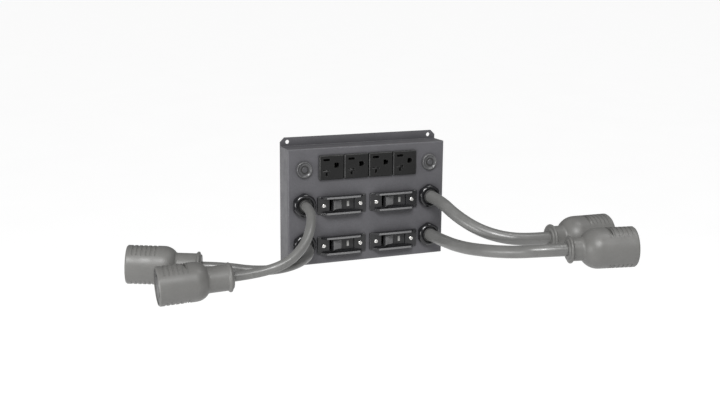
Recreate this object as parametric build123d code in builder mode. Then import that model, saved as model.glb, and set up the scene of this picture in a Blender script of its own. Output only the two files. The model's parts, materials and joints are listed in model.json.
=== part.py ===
from build123d import *
import math
import os

# Power distribution panel: a folded sheet-metal face with four 20 A outlets, two reset buttons,
# four rocker circuit breakers in guards, and four pigtail cords with locking connectors.
# Origin: midway between the two flange holes, on the flange's rear (mounting) face.
# +X runs along the panel, +Z is up and -Y points out of the panel's front. Millimetres.

# ---------------------------------------------------------------- driving dimensions
PANEL_W = 192.0
PANEL_H = 132.4
PANEL_DEPTH = 26.0
SHEET = 1.5
BEND_R = 2.0
FLANGE_BEND_R = 0.5
FLANGE_TOP = 5.0
FLANGE_CHAMFER = 5.0
HOLE_X = 87.5
HOLE_R = 2.3
PANEL_TOP = -4.8

FRONT_Y = -PANEL_DEPTH
FACE_Z = PANEL_TOP - PANEL_H / 2
INSIDE = SHEET

OUTLET_XS = [-45.0, -15.0, 15.0, 45.0]
OUTLET_Z = FACE_Z + 43.9
OUTLET_W = 29.0
OUTLET_H = 27.4
OUTLET_PROUD = 3.0
OUTLET_BODY_W = 27.0
OUTLET_BODY_H = 24.6
OUTLET_BODY_DEPTH = 22.0
BLADE_PITCH = 12.7
GROUND_OFFSET = 11.9
BLADE_X = -6.2
BLADE_Z = 2.4

BREAKER_XS = [-32.1, 32.1]
BREAKER_ZS = [FACE_Z + 1.0, FACE_Z - 45.2]
BREAKERS = [(x, z) for z in BREAKER_ZS for x in BREAKER_XS]
BEZEL_W = 59.0
BEZEL_H = 20.0
BEZEL_T = 1.8
RIDGE_OUT = 8.5
RIDGE_T = 2.2
SCREW_X = 22.2
ROCKER_HALF = 13.6
ROCKER_WIDTH = 12.8
ROCKER_SLOT_W = 30.6
ROCKER_SLOT_H = 13.4
PIVOT_BEHIND = 5.0
ROCKER_TILT = 11.0
PIN_R = 1.25
CASE_W = 52.0
CASE_H = 19.0
CASE_DEPTH = 40.0
COVER_T = 2.0

RESET_X = 77.0
RESET_Z = FACE_Z + 43.0
RESET_BUTTON_R = 3.3
RESET_BORE_R = 3.4

GRIP_X = 77.3
GRIP_ZS = [FACE_Z + 3.0, FACE_Z - 42.5]
GRIP_HEX_R = 14.3
GRIP_ROUND_R = 13.4
GRIP_OUT = 6.5
GRIP_BORE_R = 9.0
GRIP_THREAD_R = 10.6
GRIP_BACK = 13.0
LOCKNUT_R = 14.2
CORD_START = 2.0

RUN_CLEAR = 0.05


def face_plane(x, z, out=0.0):
    """Plane parallel to the front face, its normal pointing out of the panel's front."""
    return Plane(origin=(x, FRONT_Y - out, z), x_dir=(1, 0, 0), z_dir=(0, -1, 0))


def level_plane(x, z, behind=0.0):
    """Horizontal plane at a height, its origin a distance behind the front face."""
    return Plane(origin=(x, FRONT_Y + behind, z), x_dir=(1, 0, 0), z_dir=(0, 0, 1))


def save(part, label):
    part.label = label
    export_step(part, "parts/" + label + ".step")


def save_group(solids, label):
    save(Compound(label=label, children=list(solids)), label)


os.makedirs("parts", exist_ok=True)

# ---------------------------------------------------------------- front panel
with BuildPart() as front_panel:
    with BuildSketch(face_plane(0, FACE_Z)):
        Rectangle(PANEL_W, PANEL_H)
    extrude(amount=-PANEL_DEPTH)
    fillet(front_panel.edges().group_by(Axis.Y)[0], BEND_R)
    offset(amount=-SHEET, openings=front_panel.faces().sort_by(Axis.Y)[-1])
    with BuildSketch(Plane(origin=(0, 0, 0), x_dir=(1, 0, 0), z_dir=(0, -1, 0))):
        with BuildLine():
            Polyline(
                (-PANEL_W / 2, PANEL_TOP - SHEET),
                (-PANEL_W / 2, FLANGE_TOP - FLANGE_CHAMFER),
                (-PANEL_W / 2 + FLANGE_CHAMFER, FLANGE_TOP),
                (PANEL_W / 2 - FLANGE_CHAMFER, FLANGE_TOP),
                (PANEL_W / 2, FLANGE_TOP - FLANGE_CHAMFER),
                (PANEL_W / 2, PANEL_TOP - SHEET),
                close=True,
            )
        make_face()
    extrude(amount=SHEET)
    bend = front_panel.edges().filter_by(Axis.X).filter_by(
        lambda e: abs(e.center().Y + SHEET) < 0.01 and abs(e.center().Z - PANEL_TOP) < 0.01
    )
    fillet(bend, FLANGE_BEND_R)
    with BuildSketch(Plane(origin=(0, 0, 0), x_dir=(1, 0, 0), z_dir=(0, -1, 0))):
        with Locations((-HOLE_X, 0), (HOLE_X, 0)):
            Circle(HOLE_R)
    extrude(amount=SHEET, mode=Mode.SUBTRACT)
    with BuildSketch(face_plane(0, 0)):
        with Locations(*[(x, OUTLET_Z) for x in OUTLET_XS]):
            Rectangle(OUTLET_BODY_W + 0.4, OUTLET_BODY_H + 0.4)
        with Locations(*BREAKERS):
            Rectangle(ROCKER_SLOT_W + 3.6, ROCKER_SLOT_H + 2.0)
        with Locations(*[(x + s, z) for x, z in BREAKERS for s in (-SCREW_X, SCREW_X)]):
            Circle(1.7)
        with Locations((-RESET_X, RESET_Z), (RESET_X, RESET_Z)):
            Circle(4.9)
        with Locations(*[(s * GRIP_X, z) for s in (-1, 1) for z in GRIP_ZS]):
            Circle(GRIP_THREAD_R + 0.3)
    extrude(amount=-SHEET, mode=Mode.SUBTRACT)
save(front_panel.part, "front_panel")

# ---------------------------------------------------------------- outlets
HOT_Z = BLADE_Z + BLADE_PITCH / 2
NEUTRAL_Z = BLADE_Z - BLADE_PITCH / 2
GROUND_X = BLADE_X + GROUND_OFFSET
FRONT_WALL = 3.5
CAVITY_BACK = OUTLET_PROUD + OUTLET_BODY_DEPTH


def outlet_housing(x):
    with BuildPart() as housing:
        with BuildSketch(face_plane(x, OUTLET_Z)):
            RectangleRounded(OUTLET_W, OUTLET_H, 1.0)
        extrude(amount=OUTLET_PROUD)
        chamfer(housing.faces().sort_by(Axis.Y)[0].edges(), 0.7)
        with BuildSketch(face_plane(x, OUTLET_Z)):
            Rectangle(OUTLET_BODY_W, OUTLET_BODY_H)
        extrude(amount=-OUTLET_BODY_DEPTH)
        fillet(housing.faces().sort_by(Axis.Y)[-1].edges(), 0.8)
        with BuildSketch(face_plane(x, OUTLET_Z, OUTLET_PROUD)):
            with Locations((BLADE_X, HOT_Z)):
                Rectangle(8.2, 3.0)
            with Locations((BLADE_X, NEUTRAL_Z)):
                Rectangle(8.6, 3.0)
            with Locations((BLADE_X, NEUTRAL_Z - 2.9)):
                Rectangle(3.0, 5.2)
            with Locations((GROUND_X + 0.4, BLADE_Z)):
                Circle(3.1)
            with Locations((GROUND_X - 1.2, BLADE_Z)):
                Rectangle(3.2, 6.2)
        extrude(amount=-FRONT_WALL, mode=Mode.SUBTRACT)
        with BuildSketch(face_plane(x, OUTLET_Z, OUTLET_PROUD - FRONT_WALL)):
            with Locations((BLADE_X, HOT_Z)):
                Rectangle(8.8, 5.2)
            with Locations((BLADE_X, NEUTRAL_Z - 1.4)):
                Rectangle(9.0, 8.4)
            with Locations((GROUND_X, BLADE_Z)):
                Circle(4.0)
        extrude(amount=-CAVITY_BACK, mode=Mode.SUBTRACT)
    return housing.part


CONTACT_BEHIND = 8.0


def blade_contact(x, z):
    """Two spring leaves on a base, with a flat tab behind."""
    with BuildPart() as contact:
        with BuildSketch(face_plane(x, z, -CONTACT_BEHIND)):
            with Locations((0, 1.25), (0, -1.25)):
                Rectangle(6.4, 0.7)
        extrude(amount=CONTACT_BEHIND - 17.0)
        with BuildSketch(face_plane(x, z, -17.0)):
            Rectangle(6.4, 3.2)
        extrude(amount=-1.0)
        with BuildSketch(face_plane(x, z, -18.0)):
            Rectangle(6.0, 0.9)
        extrude(amount=-8.0)
        chamfer(contact.faces().sort_by(Axis.Y)[-1].edges().filter_by(Axis.Z), 1.5)
    return contact.part


def ground_contact(x, z):
    """A split sleeve on a base, with a flat tab behind."""
    with BuildPart() as contact:
        with BuildSketch(face_plane(x, z, -CONTACT_BEHIND)):
            Circle(3.4)
            Circle(2.6, mode=Mode.SUBTRACT)
            with Locations((3.0, 0)):
                Rectangle(3.0, 1.0, mode=Mode.SUBTRACT)
        extrude(amount=CONTACT_BEHIND - 17.0)
        with BuildSketch(face_plane(x, z, -17.0)):
            Circle(3.4)
        extrude(amount=-1.0)
        with BuildSketch(face_plane(x, z, -18.0)):
            Rectangle(6.0, 0.9)
        extrude(amount=-8.0)
        chamfer(contact.faces().sort_by(Axis.Y)[-1].edges().filter_by(Axis.Z), 1.5)
    return contact.part


for number, outlet_x in enumerate(OUTLET_XS, start=1):
    save(outlet_housing(outlet_x), f"outlet_housing_{number}")
    contacts = [
        blade_contact(outlet_x + BLADE_X, OUTLET_Z + HOT_Z),
        blade_contact(outlet_x + BLADE_X, OUTLET_Z + NEUTRAL_Z),
        ground_contact(outlet_x + GROUND_X, OUTLET_Z + BLADE_Z),
    ]
    save_group(contacts, f"outlet_contacts_{number}")


STRAP_BEHIND = OUTLET_BODY_DEPTH + 0.4


def outlet_strap(x_low, x_high, z):
    """A thin bus strap that joins the tabs of neighbouring outlets."""
    with BuildPart() as strap:
        with BuildSketch(face_plane((x_low + x_high) / 2, z + 1.05, -STRAP_BEHIND)):
            Rectangle(x_high - x_low + 7.0, 1.2)
        extrude(amount=-3.4)
    return strap.part


HOT_ROW = OUTLET_Z + HOT_Z
NEUTRAL_ROW = OUTLET_Z + NEUTRAL_Z
GROUND_ROW = OUTLET_Z + BLADE_Z
straps = [
    outlet_strap(OUTLET_XS[0] + BLADE_X, OUTLET_XS[1] + BLADE_X, HOT_ROW),
    outlet_strap(OUTLET_XS[2] + BLADE_X, OUTLET_XS[3] + BLADE_X, HOT_ROW),
    outlet_strap(OUTLET_XS[0] + BLADE_X, OUTLET_XS[3] + BLADE_X, NEUTRAL_ROW),
    outlet_strap(OUTLET_XS[0] + GROUND_X, OUTLET_XS[3] + GROUND_X, GROUND_ROW),
]
save_group(straps, "outlet_straps")

# ---------------------------------------------------------------- rocker circuit breakers
RIDGE_BASE = 26.0
RIDGE_FLAT = 20.0
RIDGE_Z = BEZEL_H / 2 - RIDGE_T / 2
ROCKER_END_H = 8.0
ROCKER_MID_H = 5.2


def breaker_bezel(x, z):
    with BuildPart() as bezel:
        with BuildSketch(face_plane(x, z)):
            RectangleRounded(BEZEL_W, BEZEL_H, 1.6)
        extrude(amount=BEZEL_T)
        chamfer(bezel.faces().sort_by(Axis.Y)[0].edges(), 0.4)
        for side in (-1, 1):
            ridge_plane = Plane(
                origin=(x, FRONT_Y, z + side * RIDGE_Z - RIDGE_T / 2),
                x_dir=(1, 0, 0),
                z_dir=(0, 0, 1),
            )
            with BuildSketch(ridge_plane):
                with BuildLine():
                    Polyline((-RIDGE_FLAT, -RIDGE_OUT), (-RIDGE_BASE, -1.0), (RIDGE_BASE, -1.0))
                    Line((RIDGE_BASE, -1.0), (RIDGE_FLAT, -RIDGE_OUT))
                    ThreePointArc((-RIDGE_FLAT, -RIDGE_OUT), (0, -RIDGE_OUT - 0.6), (RIDGE_FLAT, -RIDGE_OUT))
                make_face()
            extrude(amount=RIDGE_T)
        crests = bezel.edges().filter_by(lambda e: e.center().Y < FRONT_Y - RIDGE_OUT + 0.1 and e.length > 10)
        fillet(crests, 0.7)
        with BuildSketch(face_plane(x, z)):
            Rectangle(ROCKER_SLOT_W + 3.2, ROCKER_SLOT_H + 1.6)
        extrude(amount=-SHEET)
        with BuildSketch(face_plane(x, z, BEZEL_T)):
            Rectangle(ROCKER_SLOT_W, ROCKER_SLOT_H)
            with Locations((-SCREW_X, 0), (SCREW_X, 0)):
                Circle(1.7)
        extrude(amount=-BEZEL_T - SHEET, mode=Mode.SUBTRACT)
    return bezel.part


def breaker_rocker(x, z):
    """A rocker in its rest pose: the left half stands out, the right half is pressed in."""
    pivot = level_plane(x, z - ROCKER_WIDTH / 2, PIVOT_BEHIND)
    with BuildPart() as rocker:
        with BuildSketch(pivot.rotated((0, 0, ROCKER_TILT))):
            with BuildLine():
                Polyline(
                    (ROCKER_HALF, -ROCKER_END_H),
                    (ROCKER_HALF - 0.3, -3.0),
                    (4.5, 3.4),
                    (2.0, 4.4),
                    (1.6, 8.4),
                    (-1.6, 8.4),
                    (-2.0, 4.4),
                    (-4.5, 3.4),
                    (-ROCKER_HALF + 0.3, -3.0),
                    (-ROCKER_HALF, -ROCKER_END_H),
                )
                ThreePointArc(
                    (-ROCKER_HALF, -ROCKER_END_H),
                    (-ROCKER_HALF / 2, -ROCKER_MID_H - 0.9),
                    (0, -ROCKER_MID_H),
                )
                ThreePointArc(
                    (0, -ROCKER_MID_H),
                    (ROCKER_HALF / 2, -ROCKER_MID_H - 0.9),
                    (ROCKER_HALF, -ROCKER_END_H),
                )
            make_face()
        extrude(amount=ROCKER_WIDTH)
        ends = rocker.edges().filter_by(Axis.Z).group_by(Axis.Y)[0]
        fillet(ends, 0.8)
        with BuildSketch(pivot):
            Circle(PIN_R + RUN_CLEAR)
        extrude(amount=ROCKER_WIDTH, mode=Mode.SUBTRACT)
    return rocker.part


def pivot_pin(x, z):
    with BuildPart() as pin:
        with BuildSketch(level_plane(x, z - CASE_H / 2 + 0.9, PIVOT_BEHIND)):
            Circle(PIN_R)
        extrude(amount=CASE_H - 1.8)
    return pin.part


CASE_BACK = SHEET + CASE_DEPTH
ROCKER_POCKET_W = 33.0
ROCKER_POCKET_H = 14.0
ROCKER_POCKET_DEPTH = 16.5
CHAMBER_W = 47.0
CHAMBER_DEPTH = 20.0


def breaker_case(x, z):
    with BuildPart() as case:
        with BuildSketch(face_plane(x, z, -INSIDE)):
            RectangleRounded(CASE_W, CASE_H, 1.0)
        extrude(amount=-CASE_DEPTH)
        with BuildSketch(face_plane(x, z, -INSIDE)):
            Rectangle(ROCKER_POCKET_W, ROCKER_POCKET_H)
        extrude(amount=-ROCKER_POCKET_DEPTH, mode=Mode.SUBTRACT)
        with BuildSketch(face_plane(x, z, -CASE_BACK)):
            Rectangle(CHAMBER_W, ROCKER_POCKET_H + 1.0)
        extrude(amount=CHAMBER_DEPTH, mode=Mode.SUBTRACT)
        with BuildSketch(face_plane(x, z, -INSIDE)):
            with Locations((-SCREW_X, 0), (SCREW_X, 0)):
                Circle(1.4)
        extrude(amount=-9.0, mode=Mode.SUBTRACT)
        with BuildSketch(level_plane(x, z - CASE_H / 2 + 0.9, PIVOT_BEHIND)):
            Circle(PIN_R)
        extrude(amount=CASE_H - 1.8, mode=Mode.SUBTRACT)
    return case.part


def breaker_cover(x, z):
    with BuildPart() as cover:
        with BuildSketch(face_plane(x, z, -CASE_BACK)):
            RectangleRounded(CASE_W, CASE_H, 1.0)
            with Locations((-TERMINAL_X, 0), (TERMINAL_X, 0)):
                Circle(2.1, mode=Mode.SUBTRACT)
        extrude(amount=-COVER_T)
        fillet(cover.faces().sort_by(Axis.Y)[-1].edges().filter_by(Axis.X), 0.8)
    return cover.part


TERMINAL_X = 15.0
TERMINAL_BACK = CASE_BACK + COVER_T


def breaker_terminal(x, z):
    """A threaded stud through the cover, with a square clamp plate and a hexagon nut."""
    with BuildPart() as terminal:
        with BuildSketch(face_plane(x, z, -CASE_BACK + 3.0)):
            Circle(2.0)
        extrude(amount=-14.0)
        with BuildSketch(face_plane(x, z, -TERMINAL_BACK)):
            Rectangle(9.0, 9.0)
        extrude(amount=-1.0)
        with BuildSketch(face_plane(x, z, -TERMINAL_BACK - 2.6)):
            RegularPolygon(3.9, 6)
        extrude(amount=-3.0)
    return terminal.part


def breaker_coil(x, z):
    """The trip coil's winding, wound between two flanges."""
    with BuildPart() as coil:
        with BuildSketch(face_plane(x - 10.0, z, -CASE_BACK + 18.0)):
            Circle(6.4)
        extrude(amount=-1.2)
        with BuildSketch(face_plane(x - 10.0, z, -CASE_BACK + 16.8)):
            Circle(5.6)
        extrude(amount=-9.6)
        with BuildSketch(face_plane(x - 10.0, z, -CASE_BACK + 7.2)):
            Circle(6.4)
        extrude(amount=-1.2)
    return coil.part


def breaker_arm(x, z):
    """The moving contact arm, bent towards the fixed contact."""
    with BuildPart() as arm:
        with BuildSketch(level_plane(x, z - 3.0, CASE_BACK - 18.0)):
            with BuildLine():
                Polyline((0, 0), (4, 0), (17, 9), (17, 12), (15, 12), (3.4, 2), (0, 2), close=True)
            make_face()
        extrude(amount=6.0)
    return arm.part


def breaker_screw(x, z):
    with BuildPart() as screw:
        with BuildSketch(face_plane(x, z, BEZEL_T)):
            Circle(2.4)
        extrude(amount=1.8)
        fillet(screw.edges().sort_by(Axis.Y)[0], 0.9)
        with BuildSketch(face_plane(x, z, BEZEL_T + 1.8)):
            Rectangle(2.6, 0.7)
            Rectangle(0.7, 2.6)
        extrude(amount=-1.1, mode=Mode.SUBTRACT)
        with BuildSketch(face_plane(x, z, BEZEL_T)):
            Circle(1.4)
        extrude(amount=-10.0)
    return screw.part


for number, (breaker_x, breaker_z) in enumerate(BREAKERS, start=1):
    save(breaker_bezel(breaker_x, breaker_z), f"breaker_bezel_{number}")
    save(breaker_rocker(breaker_x, breaker_z), f"breaker_rocker_{number}")
    save(breaker_case(breaker_x, breaker_z), f"breaker_case_{number}")

TERMINAL_SPOTS = [(x + s * TERMINAL_X, z) for x, z in BREAKERS for s in (-1, 1)]
save_group([pivot_pin(x, z) for x, z in BREAKERS], "rocker_pivot_pins")
save_group([breaker_cover(x, z) for x, z in BREAKERS], "breaker_covers")
save_group([breaker_coil(x, z) for x, z in BREAKERS], "breaker_coils")
save_group([breaker_arm(x, z) for x, z in BREAKERS], "breaker_contact_arms")
save_group([breaker_terminal(x, z) for x, z in TERMINAL_SPOTS], "breaker_terminals")
save_group(
    [breaker_screw(x + s * SCREW_X, z) for x, z in BREAKERS for s in (-1, 1)],
    "breaker_screws",
)

# ---------------------------------------------------------------- reset buttons
RESET_BODY_DEPTH = 26.0
BUSHING_R = 4.7
BUSHING_OUT = 2.6
BUTTON_OUT = 3.6
COLLAR_R = 9.2


def reset_body(x):
    with BuildPart() as body:
        with BuildSketch(face_plane(x, RESET_Z, -INSIDE)):
            RectangleRounded(17.0, 24.0, 2.0)
        extrude(amount=-RESET_BODY_DEPTH)
        chamfer(body.faces().sort_by(Axis.Y)[-1].edges(), 1.0)
        with BuildSketch(face_plane(x, RESET_Z, -INSIDE)):
            Circle(BUSHING_R)
        extrude(amount=INSIDE + BUSHING_OUT)
        with BuildSketch(face_plane(x, RESET_Z, BUSHING_OUT)):
            Circle(RESET_BORE_R)
        extrude(amount=-BUSHING_OUT - 16.0, mode=Mode.SUBTRACT)
    return body.part


def reset_collar(x):
    """Round nut with a rolled rim and a dished middle."""
    inner = BUSHING_R + RUN_CLEAR
    with BuildPart() as collar:
        with BuildSketch(Plane(origin=(x, FRONT_Y, RESET_Z), x_dir=(1, 0, 0), z_dir=(0, 0, 1))):
            with BuildLine():
                Polyline((inner, -1.7), (inner, 0), (COLLAR_R, 0), (COLLAR_R, -2.0))
                ThreePointArc((COLLAR_R, -2.0), (COLLAR_R - 0.7, -3.0), (COLLAR_R - 1.6, -2.7))
                ThreePointArc((COLLAR_R - 1.6, -2.7), (COLLAR_R - 2.6, -1.9), (inner, -1.7))
            make_face()
        revolve(axis=Axis((x, FRONT_Y, RESET_Z), (0, 1, 0)))
    return collar.part


def reset_button(x):
    with BuildPart() as button:
        with BuildSketch(face_plane(x, RESET_Z, BUTTON_OUT)):
            Circle(RESET_BUTTON_R)
        extrude(amount=-BUTTON_OUT - 6.0)
        fillet(button.edges().sort_by(Axis.Y)[0], 0.9)
        with BuildSketch(face_plane(x, RESET_Z, -6.0)):
            Circle(1.6)
        extrude(amount=-6.0)
    return button.part


def reset_terminal(x, z):
    with BuildPart() as tab:
        with BuildSketch(face_plane(x, z, -INSIDE - RESET_BODY_DEPTH)):
            Rectangle(6.3, 0.8)
        extrude(amount=-8.0)
        chamfer(tab.faces().sort_by(Axis.Y)[-1].edges().filter_by(Axis.Z), 1.5)
    return tab.part


for number, side in enumerate((-1, 1), start=1):
    save(reset_body(side * RESET_X), f"reset_body_{number}")
    save(reset_button(side * RESET_X), f"reset_button_{number}")
save_group([reset_collar(s * RESET_X) for s in (-1, 1)], "reset_collars")
save_group(
    [reset_terminal(s * RESET_X, RESET_Z + dz) for s in (-1, 1) for dz in (-7.0, 7.0)],
    "reset_terminals",
)

# ---------------------------------------------------------------- cords and their routes
# Cords 1 and 2 leave the left fittings, cords 3 and 4 the right ones. Each route starts
# inside its fitting, runs straight out of the panel, bends round to the side and ends
# at its connector's entry, in line with the connector.
CORD_R = {1: 5.25, 2: 5.25, 3: 7.0, 4: 7.0}
GRIPS = {
    1: (-GRIP_X, GRIP_ZS[0]),
    2: (-GRIP_X, GRIP_ZS[1]),
    3: (GRIP_X, GRIP_ZS[0]),
    4: (GRIP_X, GRIP_ZS[1]),
}
ROUTES = {
    1: [
        (-77.3, -24, -68),
        (-77.3, -46, -68),
        (-85, -71.5, -79),
        (-99.5, -91, -96),
        (-122, -100, -112),
        (-152, -93.8, -121.5),
        (-180.2, -91.4, -123),
    ],
    2: [
        (-77.3, -24, -113.5),
        (-77.3, -46, -113.5),
        (-88.2, -67.5, -116.7),
        (-108.1, -80.8, -120.3),
        (-132, -83.3, -122.7),
        (-155.5, -74.7, -123),
        (-176.2, -59.4, -121),
        (-201.3, -50.2, -120),
    ],
    3: [
        (77.3, -24, -68),
        (77.3, -53, -68),
        (85, -81, -82),
        (99, -106, -93.5),
        (119, -124, -100.2),
        (144.5, -134.8, -102.6),
        (171.6, -136.5, -102.4),
    ],
    4: [
        (77.3, -24, -113.5),
        (77.3, -59, -113.5),
        (83.5, -94, -114.8),
        (96, -127, -112.5),
        (114, -156.5, -109),
        (134.5, -178.3, -104.3),
        (162.1, -187, -103.4),
    ],
}


def tube_radii(points):
    """The arc at each corner: 0.45 of the shorter run over the tangent of half the turn."""
    vectors = [Vector(*p) for p in points]
    radii = []
    for before, here, after in zip(vectors, vectors[1:], vectors[2:]):
        run_in = here - before
        run_out = after - here
        half_turn = math.radians(run_in.get_angle(run_out)) / 2
        radii.append(0.45 * min(run_in.length, run_out.length) / math.tan(half_turn))
    return radii


def tube(points, radius, radii=None):
    """A round tube along straight runs joined by tangent arcs."""
    with BuildPart() as body:
        with BuildLine():
            path = FilletPolyline(*points, radius=radii or tube_radii(points))
        with BuildSketch(Plane(origin=path @ 0, z_dir=path % 0)):
            Circle(radius)
        sweep()
    return body.part, path.length


for number, route in ROUTES.items():
    cord, cord_length = tube(route, CORD_R[number])
    save(cord, f"cord_{number}")
    shown = [round(r, 1) for r in tube_radii(route)]
    by_volume = cord.volume / (math.pi * CORD_R[number] ** 2)
    print(f"cord_{number} length {cord_length:.1f}, volume over section {by_volume:.1f}, radii {shown}")

# ---------------------------------------------------------------- cord fittings
SEAL_OUT = 3.4


def cord_grip(x, z):
    """Hexagonal collar with rounded front corners, over a threaded barrel."""
    with BuildPart() as grip:
        with BuildSketch(face_plane(x, z)):
            RegularPolygon(GRIP_HEX_R, 6, rotation=30)
        extrude(amount=GRIP_OUT)
        with BuildSketch(Plane(origin=(x, FRONT_Y, z), x_dir=(1, 0, 0), z_dir=(0, 0, 1))):
            with BuildLine():
                Polyline((0, -GRIP_OUT), (0, 0), (GRIP_ROUND_R, 0), (GRIP_ROUND_R, -3.4))
                ThreePointArc((GRIP_ROUND_R, -3.4), (12.7, -5.2), (11.2, -GRIP_OUT))
                Line((11.2, -GRIP_OUT), (0, -GRIP_OUT))
            make_face()
        revolve(axis=Axis((x, FRONT_Y, z), (0, 1, 0)), mode=Mode.INTERSECT)
        with BuildSketch(face_plane(x, z)):
            Circle(GRIP_THREAD_R)
        extrude(amount=-GRIP_BACK)
        with BuildSketch(face_plane(x, z, GRIP_OUT)):
            Circle(GRIP_BORE_R)
        extrude(amount=-GRIP_OUT - GRIP_BACK, mode=Mode.SUBTRACT)
        mouth = grip.edges().filter_by(GeomType.CIRCLE).group_by(Axis.Y)[0].sort_by(SortBy.RADIUS)[0]
        fillet(mouth, 1.0)
    return grip.part


def grip_seal(x, z, cord_r):
    """Rubber sleeve between the collar and the cord."""
    with BuildPart() as seal:
        with BuildSketch(face_plane(x, z, SEAL_OUT)):
            Circle(GRIP_BORE_R)
            Circle(cord_r, mode=Mode.SUBTRACT)
        extrude(amount=-SEAL_OUT - 8.0)
    return seal.part


def grip_locknut(x, z):
    with BuildPart() as nut:
        with BuildSketch(face_plane(x, z, -INSIDE)):
            Circle(LOCKNUT_R)
            Circle(GRIP_THREAD_R + RUN_CLEAR, mode=Mode.SUBTRACT)
            with PolarLocations(LOCKNUT_R, 8):
                Rectangle(2.0, 3.0, mode=Mode.SUBTRACT)
        extrude(amount=-4.0)
    return nut.part


for number, (grip_x, grip_z) in GRIPS.items():
    save(cord_grip(grip_x, grip_z), f"cord_grip_{number}")
save_group([grip_seal(x, z, CORD_R[n]) for n, (x, z) in GRIPS.items()], "grip_seals")
save_group([grip_locknut(x, z) for x, z in GRIPS.values()], "grip_locknuts")

# ---------------------------------------------------------------- locking connectors
CONNECTOR_L = {1: 78.0, 2: 78.0, 3: 74.0, 4: 74.0}
BODY_R = {1: 20.5, 2: 20.5, 3: 22.0, 4: 22.0}
NECK_R = {1: 13.7, 2: 13.7, 3: 12.6, 4: 12.6}
RING_R = {1: 15.6, 2: 15.6, 3: 15.0, 4: 15.0}
NECK_END = {1: 25.0, 2: 25.0, 3: 15.0, 4: 15.0}
SHOULDER_END = {1: 40.0, 2: 40.0, 3: 34.0, 4: 34.0}
GROOVE_SPOTS = [7.0, 11.8, 16.6, 21.4, 26.2, 31.0]
GROOVE_W = 2.2
GROOVE_DEEP = 0.6
GROOVE_ARC = 96.0
FACE_POCKET = 12.0
RIM = 2.0
SLOT_CIRCLE_R = 11.5
SLOT_HALF_ANGLE = 26.0


def connector_plane(number):
    """Plane across the cord entry, its normal along the connector towards its contact face."""
    last = Vector(*ROUTES[number][-1])
    along = (last - Vector(*ROUTES[number][-2])).normalized()
    return Plane(origin=last, x_dir=Vector(0, 0, 1).cross(along), z_dir=along)


def radial_plane(plane, angle):
    """Plane through the connector's axis, its X pointing outwards at an angle from level."""
    outward = plane.x_dir.rotate(Axis((0, 0, 0), plane.z_dir), angle)
    return Plane(origin=plane.origin, x_dir=outward, z_dir=outward.cross(plane.z_dir))


def connector_body(number):
    """Turned shell with grip grooves across its top and bottom, and a pocket for the face."""
    plane = connector_plane(number)
    neck, ring, body_r = NECK_R[number], RING_R[number], BODY_R[number]
    length = CONNECTOR_L[number]
    neck_end, full = NECK_END[number], SHOULDER_END[number]
    foot_r, foot = neck + 1.9, neck_end + 3.0
    dome_middle = (body_r - 0.33 * (body_r - foot_r), foot + 0.38 * (full - foot))
    with BuildPart() as body:
        with BuildSketch(radial_plane(plane, 0)):
            with BuildLine():
                Polyline((0, 0), (neck - 1.6, 0), (neck - 0.6, 1.4), (ring - 0.9, 1.8))
                ThreePointArc((ring - 0.9, 1.8), (ring, 3.4), (ring - 0.9, 5.0))
                Polyline((ring - 0.9, 5.0), (neck, 6.0), (neck, neck_end))
                ThreePointArc((neck, neck_end), (neck + 0.45, neck_end + 1.6), (foot_r, foot))
                ThreePointArc((foot_r, foot), dome_middle, (body_r, full))
                Polyline((body_r, full), (body_r, length - 1.4), (body_r - 1.0, length))
                Polyline((body_r - 1.0, length), (0, length), (0, 0))
            make_face()
        revolve(axis=Axis(plane.origin, plane.z_dir))
        for middle in (90.0, 270.0):
            with BuildSketch(radial_plane(plane, middle - GROOVE_ARC / 2)):
                with Locations([(body_r, length - spot) for spot in GROOVE_SPOTS]):
                    Rectangle(2 * GROOVE_DEEP, GROOVE_W)
            revolve(
                axis=Axis(plane.origin, plane.z_dir),
                revolution_arc=GROOVE_ARC,
                mode=Mode.SUBTRACT,
            )
        with BuildSketch(plane.offset(length)):
            Circle(body_r - RIM)
        extrude(amount=-FACE_POCKET, mode=Mode.SUBTRACT)
    return body.part


def slot_sketch(width, shorten=0.0):
    """Three curved slots on a circle."""
    half = SLOT_HALF_ANGLE - shorten
    for middle in (90.0, 210.0, 330.0):
        arc = Edge.make_circle(SLOT_CIRCLE_R, start_angle=middle - half, end_angle=middle + half)
        SlotArc(arc, width)


def connector_face(number):
    plane = connector_plane(number)
    with BuildPart() as face:
        with BuildSketch(plane.offset(CONNECTOR_L[number] - 0.8)):
            Circle(BODY_R[number] - RIM)
        extrude(amount=-FACE_POCKET + 0.8)
        with BuildSketch(plane.offset(CONNECTOR_L[number] - 0.8)):
            slot_sketch(2.4)
            with Locations((2.6, SLOT_CIRCLE_R - 2.4)):
                Rectangle(2.0, 3.0)
        extrude(amount=-FACE_POCKET + 1.8, mode=Mode.SUBTRACT)
    return face.part


def connector_contact(number):
    """Three curved brass strips, one in each slot, on the slot's outer side."""
    plane = connector_plane(number)
    with BuildPart() as contact:
        with BuildSketch(plane.offset(CONNECTOR_L[number] - FACE_POCKET + 1.0)):
            slot_sketch(0.8, 3.0)
        extrude(amount=6.0)
    return contact.part


for number in ROUTES:
    save(connector_body(number), f"connector_body_{number}")
    save(connector_face(number), f"connector_face_{number}")
save_group([s for n in ROUTES for s in connector_contact(n).solids()], "connector_contacts")

# ---------------------------------------------------------------- ground stud, neutral bar and wiring
STUD_Z = FACE_Z - 22.1
BUS_X = -32.0
BUS_W = 44.0
BUS_POST_X = 18.0
BUS_BEHIND = 14.0
WIRE_R = 1.6

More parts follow.
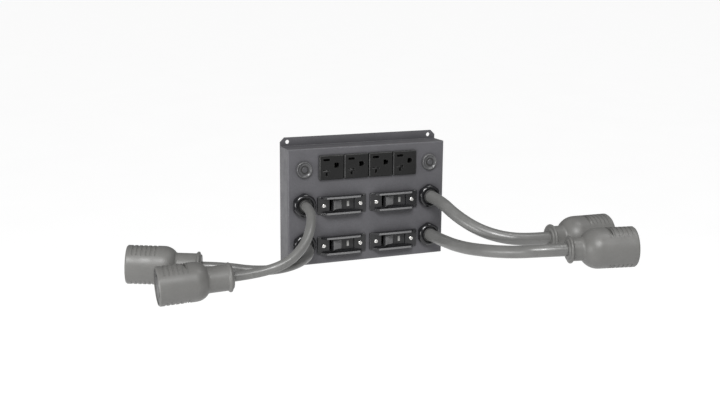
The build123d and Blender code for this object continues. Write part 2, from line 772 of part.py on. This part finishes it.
with BuildPart() as ground_stud:
    with BuildSketch(face_plane(0, STUD_Z, -INSIDE)):
        Circle(4.5)
    extrude(amount=-1.5)
    with BuildSketch(face_plane(0, STUD_Z, -INSIDE - 1.5)):
        Circle(2.5)
    extrude(amount=-18.0)
    chamfer(ground_stud.edges().sort_by(Axis.Y)[-1], 0.6)
save(ground_stud.part, "ground_stud")


def stud_nut(behind):
    with BuildPart() as nut:
        with BuildSketch(face_plane(0, STUD_Z, -behind)):
            RegularPolygon(4.6, 6)
            Circle(2.5 + RUN_CLEAR, mode=Mode.SUBTRACT)
        extrude(amount=-4.0)
    return nut.part


save_group([stud_nut(INSIDE + 4.0), stud_nut(INSIDE + 12.8)], "ground_nuts")

with BuildPart() as neutral_bus:
    with BuildSketch(face_plane(BUS_X, STUD_Z, -BUS_BEHIND)):
        RectangleRounded(BUS_W, 8.0, 1.0)
    extrude(amount=-7.0)
    with BuildSketch(face_plane(BUS_X, STUD_Z, -BUS_BEHIND)):
        with Locations((-BUS_POST_X, 0), (BUS_POST_X, 0)):
            Circle(1.6)
    extrude(amount=-7.0, mode=Mode.SUBTRACT)
save(neutral_bus.part, "neutral_bus")


def bus_post(x):
    """Insulating post between the face and the bar."""
    with BuildPart() as post:
        with BuildSketch(face_plane(x, STUD_Z, -INSIDE)):
            RegularPolygon(4.0, 6)
        extrude(amount=-BUS_BEHIND + INSIDE)
    return post.part


def bus_screw(x):
    with BuildPart() as screw:
        with BuildSketch(face_plane(x, STUD_Z, -BUS_BEHIND)):
            Circle(1.5)
        extrude(amount=-7.0)
        with BuildSketch(face_plane(x, STUD_Z, -BUS_BEHIND - 7.0)):
            Circle(2.8)
        extrude(amount=-1.8)
    return screw.part


save_group([bus_post(BUS_X + s * BUS_POST_X) for s in (-1, 1)], "bus_posts")
save_group([bus_screw(BUS_X + s * BUS_POST_X) for s in (-1, 1)], "bus_screws")


def wire(points, bend=5.0):
    placed = [(x, FRONT_Y + behind, z) for x, behind, z in points]
    return tube(placed, WIRE_R, [bend] * (len(points) - 2))[0]


LINE_BEHIND = TERMINAL_BACK + 17.0
GROUND_BEHIND = 24.0
GROUND_LEVEL = 9.0
LUG_END = (5.0, 6.0)


def lug_ring(direction, behind):
    """Flat ring on the stud, its tab reaching out to where the wire is crimped."""
    with BuildPart() as lug:
        with BuildSketch(face_plane(0, STUD_Z, -behind)):
            Circle(4.4)
            with PolarLocations(6.0, 1, start_angle=direction):
                Rectangle(5.0, 3.2)
            Circle(2.5 + RUN_CLEAR, mode=Mode.SUBTRACT)
        extrude(amount=-1.0)
    return lug.part


line_wires = []
ground_wires = []
for number, (grip_x, grip_z) in GRIPS.items():
    side = 1 if grip_x > 0 else -1
    rise = 1 if grip_z > STUD_Z else -1
    breaker_x, breaker_z = BREAKERS[(number - 1) % 2 * 2 + (1 if side > 0 else 0)]
    lug_x = breaker_x + side * TERMINAL_X
    entry_x = grip_x - side * 2.0
    line_wires.append(
        wire(
            [
                (entry_x, CORD_START, grip_z + 2.4),
                (entry_x, LINE_BEHIND, grip_z + 2.4),
                (lug_x, LINE_BEHIND, breaker_z),
                (lug_x, TERMINAL_BACK + 9.0, breaker_z),
            ],
            3.0,
        )
    )
    lug_behind = 8.6 + 1.1 * number
    ground_wires += [
        wire(
            [
                (entry_x, CORD_START, grip_z - 2.4),
                (entry_x, GROUND_BEHIND, grip_z - 2.4),
                (side * 62.0, GROUND_BEHIND, STUD_Z + rise * GROUND_LEVEL),
                (side * LUG_END[0], lug_behind + 0.5, STUD_Z + rise * LUG_END[1]),
            ],
            4.0,
        ),
        lug_ring(math.degrees(math.atan2(rise * LUG_END[1], side * LUG_END[0])), lug_behind),
    ]
save_group(line_wires, "line_wires")
save_group(ground_wires, "ground_wires")
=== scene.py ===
import json
import math

import bmesh
import bpy
from mathutils import Matrix, Vector
from mathutils.bvhtree import BVHTree


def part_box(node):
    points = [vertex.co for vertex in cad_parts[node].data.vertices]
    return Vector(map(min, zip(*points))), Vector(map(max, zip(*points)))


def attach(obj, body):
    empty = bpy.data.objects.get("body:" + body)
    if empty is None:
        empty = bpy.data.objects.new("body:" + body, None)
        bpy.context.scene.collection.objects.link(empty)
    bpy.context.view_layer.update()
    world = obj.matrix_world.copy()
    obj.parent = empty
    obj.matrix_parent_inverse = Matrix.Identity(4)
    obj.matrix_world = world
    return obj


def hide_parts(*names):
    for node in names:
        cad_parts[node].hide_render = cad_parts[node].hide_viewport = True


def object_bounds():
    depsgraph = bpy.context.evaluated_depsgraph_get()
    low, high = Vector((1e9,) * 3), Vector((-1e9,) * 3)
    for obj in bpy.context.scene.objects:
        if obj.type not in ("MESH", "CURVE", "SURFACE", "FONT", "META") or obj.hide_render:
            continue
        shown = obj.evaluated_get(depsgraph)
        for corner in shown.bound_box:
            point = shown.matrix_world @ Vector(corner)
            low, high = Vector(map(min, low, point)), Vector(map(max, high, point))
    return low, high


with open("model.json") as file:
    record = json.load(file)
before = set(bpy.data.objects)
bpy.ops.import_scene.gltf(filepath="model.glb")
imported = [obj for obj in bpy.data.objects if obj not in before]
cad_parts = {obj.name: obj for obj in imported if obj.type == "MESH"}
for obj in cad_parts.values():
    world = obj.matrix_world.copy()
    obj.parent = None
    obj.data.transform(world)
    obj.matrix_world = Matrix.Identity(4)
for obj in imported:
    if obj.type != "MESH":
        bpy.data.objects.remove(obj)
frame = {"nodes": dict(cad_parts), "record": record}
cad_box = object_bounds()

# A power distribution panel hung by its top flange: outlets, reset buttons, rocker breakers in raised
# guards, and four pigtail cords with locking connectors. Metres; +X right, +Z up, -Y out of the front.

scene = bpy.context.scene
NODES = frame["nodes"]
PANEL = "panel"

# ---------------------------------------------------------------- camera
CAMERA_TARGET = Vector((-0.0093, -0.026, -0.07867))
CAMERA_AZIMUTH = -23.39
CAMERA_ELEVATION = 12.0
CAMERA_ROLL = 0.45
CAMERA_DISTANCE = 1.24967
# The lens and the sensor are in millimetres.
CAMERA_LENS = 55.0
CAMERA_SENSOR = 36.0


def add_camera():
    azimuth = math.radians(CAMERA_AZIMUTH)
    elevation = math.radians(CAMERA_ELEVATION)
    roll = math.radians(CAMERA_ROLL)
    outward = Vector((math.sin(azimuth), -math.cos(azimuth), 0)) * math.cos(elevation)
    outward.z = math.sin(elevation)
    level = Vector((math.cos(azimuth), math.sin(azimuth), 0))
    upright = outward.cross(level)
    right = level * math.cos(roll) + upright * math.sin(roll)
    up = outward.cross(right)
    data = bpy.data.cameras.new("camera")
    data.lens = CAMERA_LENS
    data.sensor_width = CAMERA_SENSOR
    camera = bpy.data.objects.new("camera", data)
    turn = Matrix((right, up, outward)).transposed().to_4x4()
    camera.matrix_world = Matrix.Translation(CAMERA_TARGET + outward * CAMERA_DISTANCE) @ turn
    scene.collection.objects.link(camera)
    scene.camera = camera


add_camera()


# ---------------------------------------------------------------- materials
EDGE_SAMPLES = 8
# The corner settings below darken inner corners by ambient occlusion: painted shade.
CORNER_SHADE_SAMPLES = 8
CORNER_SHADE_REACH = 0.012
CORNER_SHADE_DARKNESS = 0.35
DUST_COLOUR = (0.36, 0.35, 0.33)
# Crest colour: a painted highlight laid on the bezel ridge crests.
CREST_HIGHLIGHT_COLOUR = (0.11, 0.11, 0.112)
CREST_BLEND = 0.0003


class Graph:
    """Short names for the nodes that the materials below are made of."""

    def __init__(self, name):
        self.material = bpy.data.materials.new(name)
        self.material.use_nodes = True
        self.tree = self.material.node_tree
        self.shader = self.tree.nodes["Principled BSDF"]
        self.place = self.tree.nodes.new("ShaderNodeTexCoord").outputs["Object"]

    def link(self, source, target):
        self.tree.links.new(source, target)

    def stretched(self, stretch):
        mapping = self.tree.nodes.new("ShaderNodeMapping")
        mapping.inputs["Scale"].default_value = stretch
        self.link(self.place, mapping.inputs["Vector"])
        return mapping.outputs["Vector"]

    def noise(self, size, detail=3.0, roughness=0.5, stretch=(1, 1, 1)):
        """Noise whose blotches are about size metres across."""
        noise = self.tree.nodes.new("ShaderNodeTexNoise")
        noise.inputs["Scale"].default_value = 1 / size
        noise.inputs["Detail"].default_value = detail
        noise.inputs["Roughness"].default_value = roughness
        self.link(self.stretched(stretch), noise.inputs["Vector"])
        return noise.outputs["Fac"]

    def span(self, value, low, high, to_low, to_high):
        span = self.tree.nodes.new("ShaderNodeMapRange")
        for socket, number in zip(span.inputs[1:5], (low, high, to_low, to_high)):
            socket.default_value = number
        self.link(value, span.inputs[0])
        return span.outputs[0]

    def times(self, a, b):
        node = self.tree.nodes.new("ShaderNodeMath")
        node.operation = "MULTIPLY"
        self.link(a, node.inputs[0])
        self.link(b, node.inputs[1])
        return node.outputs[0]

    def mix(self, share, first, second):
        """Mix two colours, each a tuple or a node's output."""
        node = self.tree.nodes.new("ShaderNodeMix")
        node.data_type = "RGBA"
        self.link(share, node.inputs[0])
        for socket, colour in ((node.inputs[6], first), (node.inputs[7], second)):
            if isinstance(colour, tuple):
                socket.default_value = (*colour, 1.0)
            else:
                self.link(colour, socket)
        return node.outputs[2]

    def edges(self, radius):
        """One on sharp edges, falling to zero on flat faces."""
        bevel = self.tree.nodes.new("ShaderNodeBevel")
        bevel.samples = EDGE_SAMPLES
        bevel.inputs["Radius"].default_value = radius
        geometry = self.tree.nodes.new("ShaderNodeNewGeometry")
        dot = self.tree.nodes.new("ShaderNodeVectorMath")
        dot.operation = "DOT_PRODUCT"
        self.link(bevel.outputs["Normal"], dot.inputs[0])
        self.link(geometry.outputs["Normal"], dot.inputs[1])
        return self.span(dot.outputs["Value"], 1.0, 0.8, 0.0, 1.0)

    def corners(self, reach, most):
        """Rises towards inner corners: painted shade, darkest where nearby surfaces shut out the light."""
        occlusion = self.tree.nodes.new("ShaderNodeAmbientOcclusion")
        occlusion.samples = CORNER_SHADE_SAMPLES
        occlusion.inputs["Distance"].default_value = reach
        return self.span(occlusion.outputs["AO"], 0.45, 0.95, most, 0.0)

    def in_front_of(self, y):
        """One on what stands out past a plane across the front, where the ridge crests get a painted
        highlight.
        """
        split = self.tree.nodes.new("ShaderNodeSeparateXYZ")
        self.link(self.place, split.inputs[0])
        return self.span(split.outputs["Y"], y - CREST_BLEND, y, 1.0, 0.0)

    def upward(self):
        """One on faces that look up, where dust settles."""
        geometry = self.tree.nodes.new("ShaderNodeNewGeometry")
        split = self.tree.nodes.new("ShaderNodeSeparateXYZ")
        self.link(geometry.outputs["Normal"], split.inputs[0])
        return self.span(split.outputs["Z"], 0.3, 1.0, 0.0, 1.0)

    def bump(self, layers):
        """Stack bump layers, each a height source and its depth in metres."""
        previous = None
        for height, depth in layers:
            bump = self.tree.nodes.new("ShaderNodeBump")
            bump.inputs["Distance"].default_value = depth
            self.link(height, bump.inputs["Height"])
            if previous:
                self.link(previous, bump.inputs["Normal"])
            previous = bump.outputs["Normal"]
        self.link(previous, self.shader.inputs["Normal"])

    def set(self, **values):
        for name, value in values.items():
            self.shader.inputs[name.replace("_", " ")].default_value = value


def shade(colour, factor):
    return tuple(min(c * factor, 1.0) for c in colour)


def coated(name, colour, rough, grain=0.0006, depth=0.00004, edge_wear_and_highlight=1.5, coat=0.0, dust=0.12, shine=0.35,
           even=0.3, edge=0.0006, painted_corner_shade=0.0, crest=None):
    """Painted or moulded surface: mottled tone, fine texture, lighter edges, a little dust.

    Grain, depth and edge are in metres. The edge factor is how much lighter an edge is: small factors
    are rubbed wear, the large ones on outlets, bezels and grips a painted highlight; even is the least
    that any edge is lightened. Crest is the depth past which the surface takes the crest colour, a
    painted highlight. The corner shade factor is how far inner corners are darkened by painted shade.
    """
    g = Graph(name)
    mottled = g.mix(g.span(g.noise(0.03, 4.0), 0.3, 0.7, 0, 1), shade(colour, 0.9), shade(colour, 1.1))
    speckled = g.mix(g.span(g.noise(grain * 2), 0.35, 0.65, 0, 0.5), mottled, shade(colour, 0.8))
    # Edges made lighter: rubbed wear at the small factors, a painted highlight at the large ones.
    rubbed_and_lit_edges = g.times(g.edges(edge), g.span(g.noise(0.004, 4.0), 0.35, 0.65, even, 0.9))
    edged = g.mix(rubbed_and_lit_edges, speckled, shade(colour, edge_wear_and_highlight))
    # Painted shade: inner corners are darkened towards a dark copy of the colour.
    if painted_corner_shade:
        edged = g.mix(g.corners(CORNER_SHADE_REACH, painted_corner_shade), edged, shade(colour, CORNER_SHADE_DARKNESS))
    # Painted highlight: what stands past the crest plane takes the crest colour.
    if crest:
        edged = g.mix(g.in_front_of(crest), edged, CREST_HIGHLIGHT_COLOUR)
    settled = g.times(g.upward(), g.span(g.noise(0.012, 5.0), 0.4, 0.7, 0, dust))
    g.link(g.mix(settled, edged, DUST_COLOUR), g.shader.inputs["Base Color"])
    g.link(g.span(g.noise(0.01, 4.0), 0.3, 0.7, rough - 0.06, rough + 0.07), g.shader.inputs["Roughness"])
    g.bump([(g.noise(grain, 2.0), depth), (g.noise(grain * 12, 2.0), depth * 2)])
    g.set(Coat_Weight=coat, Coat_Roughness=0.12, Specular_IOR_Level=shine)
    return g.material


def metal(name, colour, rough, stretch=(1, 1, 1), grain=0.0008, tarnish=0.6):
    """Bare metal with drawn lines along its short direction and tarnished patches."""
    g = Graph(name)
    patches = g.span(g.noise(0.004, 5.0), 0.4, 0.7, 0, 0.6)
    tone = g.mix(patches, colour, shade(colour, tarnish))
    bright = g.times(g.edges(0.0004), g.span(g.noise(0.002), 0.3, 0.7, 0.2, 1.0))
    g.link(g.mix(bright, tone, shade(colour, 1.25)), g.shader.inputs["Base Color"])
    lines = g.noise(grain, 3.0, 0.6, stretch)
    g.link(g.span(lines, 0.3, 0.7, rough - 0.06, rough + 0.1), g.shader.inputs["Roughness"])
    g.bump([(lines, 0.00002)])
    g.set(Metallic=1.0)
    return g.material


def rubbery(name, colour, rough, grain=0.0009, scuff=1.35):
    """Extruded or moulded rubber: soft sheen, lengthwise scuffs and a faint pebble."""
    g = Graph(name)
    mottled = g.mix(g.span(g.noise(0.02, 5.0), 0.3, 0.7, 0, 1), shade(colour, 0.88), shade(colour, 1.08))
    scuffs = g.span(g.noise(0.006, 6.0, 0.65), 0.58, 0.75, 0, 0.5)
    g.link(g.mix(scuffs, mottled, shade(colour, scuff)), g.shader.inputs["Base Color"])
    g.link(g.span(g.noise(0.008, 4.0), 0.3, 0.7, rough - 0.07, rough + 0.08), g.shader.inputs["Roughness"])
    g.bump([(g.noise(grain, 2.0), 0.00004), (g.noise(0.008, 3.0), 0.00012)])
    g.set(Sheen_Weight=0.06, Sheen_Roughness=0.4)
    return g.material


# The bezel ridge crests in front of this depth get the painted highlight.
CREST_DEPTH = 0.0013
CREST_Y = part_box("breaker_bezel_1")[0].y + CREST_DEPTH

MATERIALS = {
    # The panel takes painted shade in its inner corners.
    "panel_steel": coated(
        "powder_coat", (0.07, 0.069, 0.075), 0.4, grain=0.0007, dust=0.05, painted_corner_shade=0.6
    ),
    # Outlet nylon: its chamfered edges are many times lighter, a painted highlight.
    "outlet_plastic": coated(
        "outlet_nylon", (0.009, 0.009, 0.009), 0.3, grain=0.0004, depth=0.00002, edge_wear_and_highlight=9.0,
        dust=0.0, shine=0.2, even=0.85, edge=0.0003
    ),
    # Outlet contacts coloured almost black: painted shade, so that the slots read dark.
    "outlet_brass": metal("contact_brass_painted_shade", (0.03, 0.024, 0.016), 0.5, stretch=(1, 1, 0.2), tarnish=0.4),
    "strap_brass": metal("strap_brass", (0.68, 0.5, 0.26), 0.38, stretch=(0.1, 1, 1)),
    # Bezel nylon: its edges are many times lighter, a painted highlight, and the ridge crests take the
    # painted crest highlight.
    "bezel_plastic": coated(
        "bezel_nylon", (0.009, 0.009, 0.01), 0.26, grain=0.0005, depth=0.000004, edge_wear_and_highlight=5.0, coat=0.2,
        dust=0.0, shine=0.4, even=0.6, edge=0.0005, crest=CREST_Y
    ),
    "rocker_plastic": coated(
        "rocker_nylon", (0.018, 0.018, 0.019), 0.3, grain=0.0004, depth=0.00002, edge_wear_and_highlight=1.8
    ),
    "case_plastic": coated("case_phenolic", (0.02, 0.02, 0.02), 0.45, depth=0.00003, edge_wear_and_highlight=2.0),
    "cover_plastic": coated("cover_phenolic", (0.03, 0.029, 0.028), 0.5, grain=0.0008, edge_wear_and_highlight=1.8),
    "pin_steel": metal("pin_steel", (0.55, 0.55, 0.56), 0.3, stretch=(1, 1, 0.1)),
    "coil_copper": metal("coil_copper", (0.55, 0.24, 0.12), 0.32, stretch=(1, 6, 1)),
    "arm_copper": metal("arm_copper", (0.6, 0.3, 0.17), 0.35, stretch=(1, 1, 0.2)),
    "terminal_brass": metal("terminal_brass", (0.7, 0.53, 0.28), 0.32, stretch=(1, 1, 0.3)),
    "screw_nickel": metal("screw_nickel", (0.78, 0.77, 0.75), 0.2, grain=0.0006, tarnish=0.8),
    "reset_case": coated("reset_phenolic", (0.02, 0.02, 0.02), 0.42, depth=0.00003, edge_wear_and_highlight=2.0),
    "reset_button": coated(
        "button_nylon", (0.045, 0.045, 0.048), 0.34, grain=0.0004, depth=0.00002, edge_wear_and_highlight=1.6
    ),
    "reset_collar": coated(
        "collar_paint", (0.06, 0.06, 0.062), 0.3, grain=0.0004, depth=0.00002, edge_wear_and_highlight=1.9, coat=0.2
    ),
    # Grip nylon: its edges are many times lighter, a painted highlight.
    "grip_nylon": coated(
        "grip_nylon", (0.006, 0.006, 0.007), 0.2, grain=0.0005, depth=0.00001, edge_wear_and_highlight=7.0, coat=0.25,
        dust=0.0, shine=0.3, even=0.75, edge=0.0004
    ),
    "grip_rubber": rubbery("grip_rubber", (0.013, 0.013, 0.013), 0.5),
    "cord_jacket": rubbery("cord_jacket", (0.1, 0.1, 0.097), 0.34),
    "connector_shell": coated(
        "connector_shell", (0.105, 0.104, 0.1), 0.42, grain=0.0005, depth=0.00003, edge_wear_and_highlight=1.3, dust=0.03
    ),
    "connector_face": coated(
        "connector_face", (0.05, 0.05, 0.05), 0.45, grain=0.0005, depth=0.00003, edge_wear_and_highlight=1.6
    ),
    "post_nylon": rubbery("post_nylon", (0.62, 0.57, 0.45), 0.45),
    "line_insulation": rubbery("line_insulation", (0.018, 0.018, 0.018), 0.35),
    "ground_insulation": rubbery("ground_insulation", (0.02, 0.2, 0.05), 0.35),
    # Rocker ribs: a much lighter grey than the rocker, painted light on the raised half.
    "rocker_ribs_painted_lit": coated("rocker_ribs_painted_lit", (0.17, 0.17, 0.172), 0.35, grain=0.0004, depth=0.00002),
    "mark_paint": rubbery("mark_paint", (0.32, 0.32, 0.31), 0.4),
}

for subpart in frame["record"]["subparts"]:
    for material_slot in NODES[subpart["node"]].material_slots:
        material_slot.material = MATERIALS[subpart["material_slot"]]

# ---------------------------------------------------------------- cords
# The routes are the ones the model's tubes follow; each starts inside its fitting and ends at
# its connector's entry.
CORD_DIAMETER = {1: 0.0105, 2: 0.0105, 3: 0.014, 4: 0.014}
ROUTES = {
    1: [
        (-0.0773, -0.024, -0.068),
        (-0.0773, -0.046, -0.068),
        (-0.085, -0.0715, -0.079),
        (-0.0995, -0.091, -0.096),
        (-0.122, -0.1, -0.112),
        (-0.152, -0.0938, -0.1215),
        (-0.1802, -0.0914, -0.123),
    ],
    2: [
        (-0.0773, -0.024, -0.1135),
        (-0.0773, -0.046, -0.1135),
        (-0.0882, -0.0675, -0.1167),
        (-0.1081, -0.0808, -0.1203),
        (-0.132, -0.0833, -0.1227),
        (-0.1555, -0.0747, -0.123),
        (-0.1762, -0.0594, -0.121),
        (-0.2013, -0.0502, -0.12),
    ],
    3: [
        (0.0773, -0.024, -0.068),
        (0.0773, -0.053, -0.068),
        (0.085, -0.081, -0.082),
        (0.099, -0.106, -0.0935),
        (0.119, -0.124, -0.1002),
        (0.1445, -0.1348, -0.1026),
        (0.1716, -0.1365, -0.1024),
    ],
    4: [
        (0.0773, -0.024, -0.1135),
        (0.0773, -0.059, -0.1135),
        (0.0835, -0.094, -0.1148),
        (0.096, -0.127, -0.1125),
        (0.114, -0.1565, -0.109),
        (0.1345, -0.1783, -0.1043),
        (0.1621, -0.187, -0.1034),
    ],
}


def cord_curve(number):
    data = bpy.data.curves.new(f"cord_jacket_{number}", "CURVE")
    data.dimensions = "3D"
    spline = data.splines.new("NURBS")
    spline.points.add(len(ROUTES[number]) - 1)
    for point, place in zip(spline.points, ROUTES[number]):
        point.co = (*place, 1.0)
    spline.order_u = 3
    spline.use_endpoint_u = True
    spline.resolution_u = 16
    data.bevel_depth = CORD_DIAMETER[number] / 2
    data.bevel_resolution = 8
    data.use_fill_caps = True
    cord = bpy.data.objects.new(f"cord_jacket_{number}", data)
    data.materials.append(MATERIALS["cord_jacket"])
    scene.collection.objects.link(cord)
    return cord


for number in ROUTES:
    jacket = cord_curve(number)
    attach(jacket, PANEL)
    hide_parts(f"cord_{number}")


# ---------------------------------------------------------------- added pieces
RING_SEGMENTS = 48


def add_mesh(name, mesh_builder, material, body):
    mesh = bpy.data.meshes.new(name)
    mesh_builder.to_mesh(mesh)
    mesh_builder.free()
    piece = bpy.data.objects.new(name, mesh)
    mesh.materials.append(MATERIALS[material])
    scene.collection.objects.link(piece)
    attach(piece, body)


def turned(profile, centre):
    """A closed ring about the front-to-back axis, from (radius, y) points."""
    builder = bmesh.new()
    rings = []
    for step in range(RING_SEGMENTS):
        angle = 2 * math.pi * step / RING_SEGMENTS
        across = Vector((math.cos(angle), 0, math.sin(angle)))
        rings.append([builder.verts.new(centre + across * r + Vector((0, y, 0))) for r, y in profile])
    for step in range(RING_SEGMENTS):
        here, there = rings[step], rings[(step + 1) % RING_SEGMENTS]
        for k in range(len(profile)):
            after = (k + 1) % len(profile)
            builder.faces.new((here[k], here[after], there[after], there[k]))
    bmesh.ops.recalc_face_normals(builder, faces=builder.faces)
    for face in builder.faces:
        face.smooth = True
    return builder


SLEEVE_PRESS = 0.0004
SLEEVE_R = 0.0089
SLEEVE_BACK = 0.0072


def grip_sleeve(number):
    """The rubber sleeve that tapers from the fitting's bore onto the cord."""
    low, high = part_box(f"cord_grip_{number}")
    centre = Vector(((low.x + high.x) / 2, low.y, (low.z + high.z) / 2))
    cord_r = CORD_DIAMETER[number] / 2
    inner_r = cord_r - SLEEVE_PRESS
    profile = [
        (inner_r, SLEEVE_BACK),
        (SLEEVE_R, SLEEVE_BACK),
        (SLEEVE_R, 0.0046),
        (0.0080, 0.0030),
        (cord_r + 0.0012, 0.0002),
        (cord_r + 0.0009, -0.0004),
        (cord_r + 0.0002, -0.0006),
        (inner_r, -0.0004),
    ]
    add_mesh(f"grip_sleeve_{number}", turned(profile, centre), "grip_rubber", PANEL)


for number in ROUTES:
    grip_sleeve(number)

# Places are shares of a rocker's length; sizes are length and height.
ROCKERS = range(1, 5)
MARK_PLACE = 0.75
MARK_SIZE = (0.0026, 0.0058)
MARK_PROUD = 0.00015
RIB_COUNT = 9
RIB_PLACES = (0.07, 0.43)
RIB_SIZE = (0.0007, 0.0098)
RIB_PROUD = 0.00035
PLATE_STEPS = (4, 10)
PLATE_SUNK = 0.0002
RAY_START = 0.01


def grown_by_extrusion(builder, faces):
    """Extrude the faces and return the new points."""
    made = bmesh.ops.extrude_face_region(builder, geom=faces)["geom"]
    return [item for item in made if isinstance(item, bmesh.types.BMVert)]


def add_plate(builder, tree, middle, size, proud):
    """A thin plate laid on a rocker's curved face, bent to follow it."""
    columns, rows = PLATE_STEPS
    grid = []
    for row in range(rows + 1):
        line = []
        for column in range(columns + 1):
            x = middle.x + (column / columns - 0.5) * size[0]
            z = middle.z + (row / rows - 0.5) * size[1]
            hit = tree.ray_cast(Vector((x, middle.y, z)), Vector((0, 1, 0)))[0]
            line.append(builder.verts.new(hit - Vector((0, proud, 0))))
        grid.append(line)
    faces = []
    for row in range(rows):
        for column in range(columns):
            near, far = grid[row], grid[row + 1]
            faces.append(builder.faces.new((near[column], near[column + 1], far[column + 1], far[column])))
    for vert in grown_by_extrusion(builder, faces):
        vert.co.y += proud + PLATE_SUNK


def rocker_pieces(number):
    """Moulded ribs on the raised half, in a lighter grey that is painted light on that half, and a pale
    inlaid bar on the pressed half.
    """
    node = f"breaker_rocker_{number}"
    low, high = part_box(node)
    tree = BVHTree.FromObject(NODES[node], bpy.context.evaluated_depsgraph_get())
    middle = Vector((0, low.y - RAY_START, (low.z + high.z) / 2))
    ribs = bmesh.new()
    for step in range(RIB_COUNT):
        share = RIB_PLACES[0] + (RIB_PLACES[1] - RIB_PLACES[0]) * step / (RIB_COUNT - 1)
        middle.x = low.x + (high.x - low.x) * share
        add_plate(ribs, tree, middle, RIB_SIZE, RIB_PROUD)
    mark = bmesh.new()
    middle.x = low.x + (high.x - low.x) * MARK_PLACE
    add_plate(mark, tree, middle, MARK_SIZE, MARK_PROUD)
    for builder, name, material in (
        (ribs, "rocker_ribs_painted_lit", "rocker_ribs_painted_lit"),
        (mark, "rocker_mark", "mark_paint"),
    ):
        bmesh.ops.recalc_face_normals(builder, faces=builder.faces)
        add_mesh(f"{name}_{number}", builder, material, f"rocker_{number}")


for number in ROCKERS:
    rocker_pieces(number)


# ---------------------------------------------------------------- floor and light
FLOOR_BELOW = 0.65
FLOOR_SIZE = 60.0
FLOOR_GLOW = 0.22
AMBIENT = 0.2
BACKDROP = 1.0
WHITE = (1, 1, 1, 1)


def add_floor():
    builder = bmesh.new()
    bmesh.ops.create_grid(builder, x_segments=8, y_segments=8, size=FLOOR_SIZE)
    mesh = bpy.data.meshes.new("floor")
    builder.to_mesh(mesh)
    builder.free()
    floor = bpy.data.objects.new("floor", mesh)
    floor.location.z = cad_box[0][2] - FLOOR_BELOW
    g = Graph("floor_paper")
    g.link(g.mix(g.noise(0.4, 3.0), (0.9, 0.9, 0.9), (0.93, 0.93, 0.93)), g.shader.inputs["Base Color"])
    g.set(Roughness=0.9, Emission_Color=WHITE, Emission_Strength=FLOOR_GLOW)
    mesh.materials.append(g.material)
    scene.collection.objects.link(floor)


def aimed(name, data, place):
    light = bpy.data.objects.new(name, data)
    light.location = place
    light.rotation_euler = (CAMERA_TARGET - Vector(place)).to_track_quat("-Z", "Y").to_euler()
    scene.collection.objects.link(light)


def add_area(name, place, size, power):
    data = bpy.data.lights.new(name, "AREA")
    data.shape = "SQUARE"
    data.size = size
    data.energy = power
    aimed(name, data, place)


def add_sun(name, place, spread, strength):
    data = bpy.data.lights.new(name, "SUN")
    data.angle = math.radians(spread)
    data.energy = strength
    aimed(name, data, place)


def add_world():
    """Dim light from all round, in front of a white backdrop."""
    world = bpy.data.worlds.new("studio")
    world.use_nodes = True
    tree = world.node_tree
    rays = tree.nodes.new("ShaderNodeLightPath")
    strength = tree.nodes.new("ShaderNodeMapRange")
    strength.inputs["To Min"].default_value = AMBIENT
    strength.inputs["To Max"].default_value = BACKDROP
    tree.links.new(rays.outputs["Is Camera Ray"], strength.inputs["Value"])
    tree.links.new(strength.outputs[0], tree.nodes["Background"].inputs["Strength"])
    tree.nodes["Background"].inputs["Color"].default_value = WHITE
    scene.world = world


scene.view_settings.view_transform = "Standard"
add_floor()
add_world()
add_sun("key", place=(-0.6, -1.0, 0.9), spread=22.0, strength=3.1)
add_area("side", place=(-1.2, -0.45, -0.05), size=0.5, power=9.0)
add_area("above", place=(0.4, -0.35, 1.0), size=0.5, power=4.0)
add_area("front", place=(-0.25, -1.3, 0.95), size=0.35, power=7.0)
